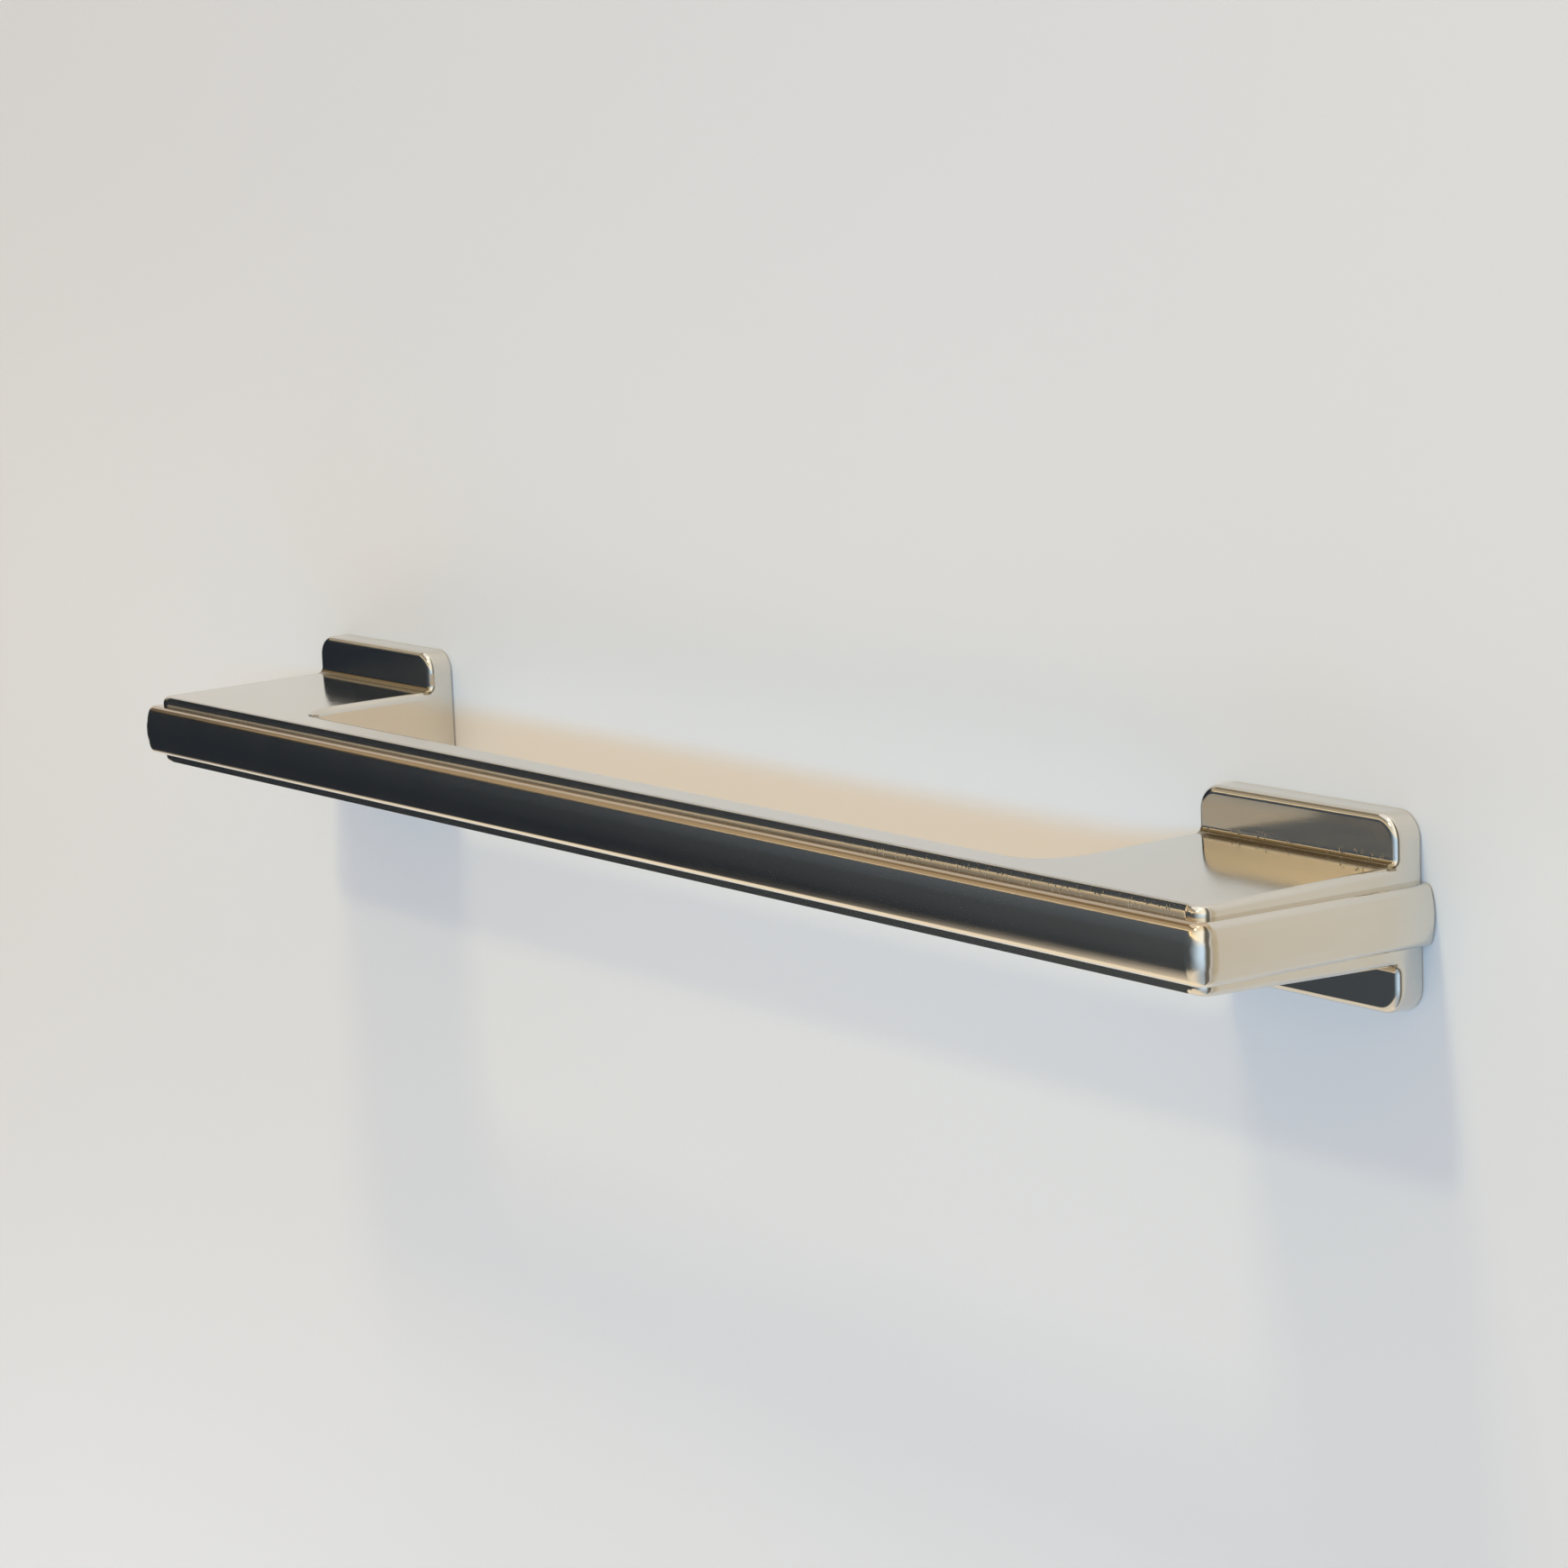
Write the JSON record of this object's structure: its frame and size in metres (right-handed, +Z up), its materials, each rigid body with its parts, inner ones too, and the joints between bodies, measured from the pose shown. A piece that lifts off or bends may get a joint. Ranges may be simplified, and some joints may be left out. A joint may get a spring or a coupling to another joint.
{
  "type": "d pull handle",
  "caption": "Flat D-shaped pull handle with a raised rim round its sides and front, and a rectangular foot on each leg with a blind tapped hole in its back.",
  "frame": {"origin": "on the door's plane, midway between the two screw holes", "axes": "+X along the handle, +Y out of its back and into the door, +Z up"},
  "size_m": [0.227, 0.031, 0.0208],
  "materials": {
    "satin_nickel": "satin nickel plate on a zinc casting"
  },
  "bodies": {
    "root": {"pull_handle": "satin_nickel"}
  },
  "joints": []
}
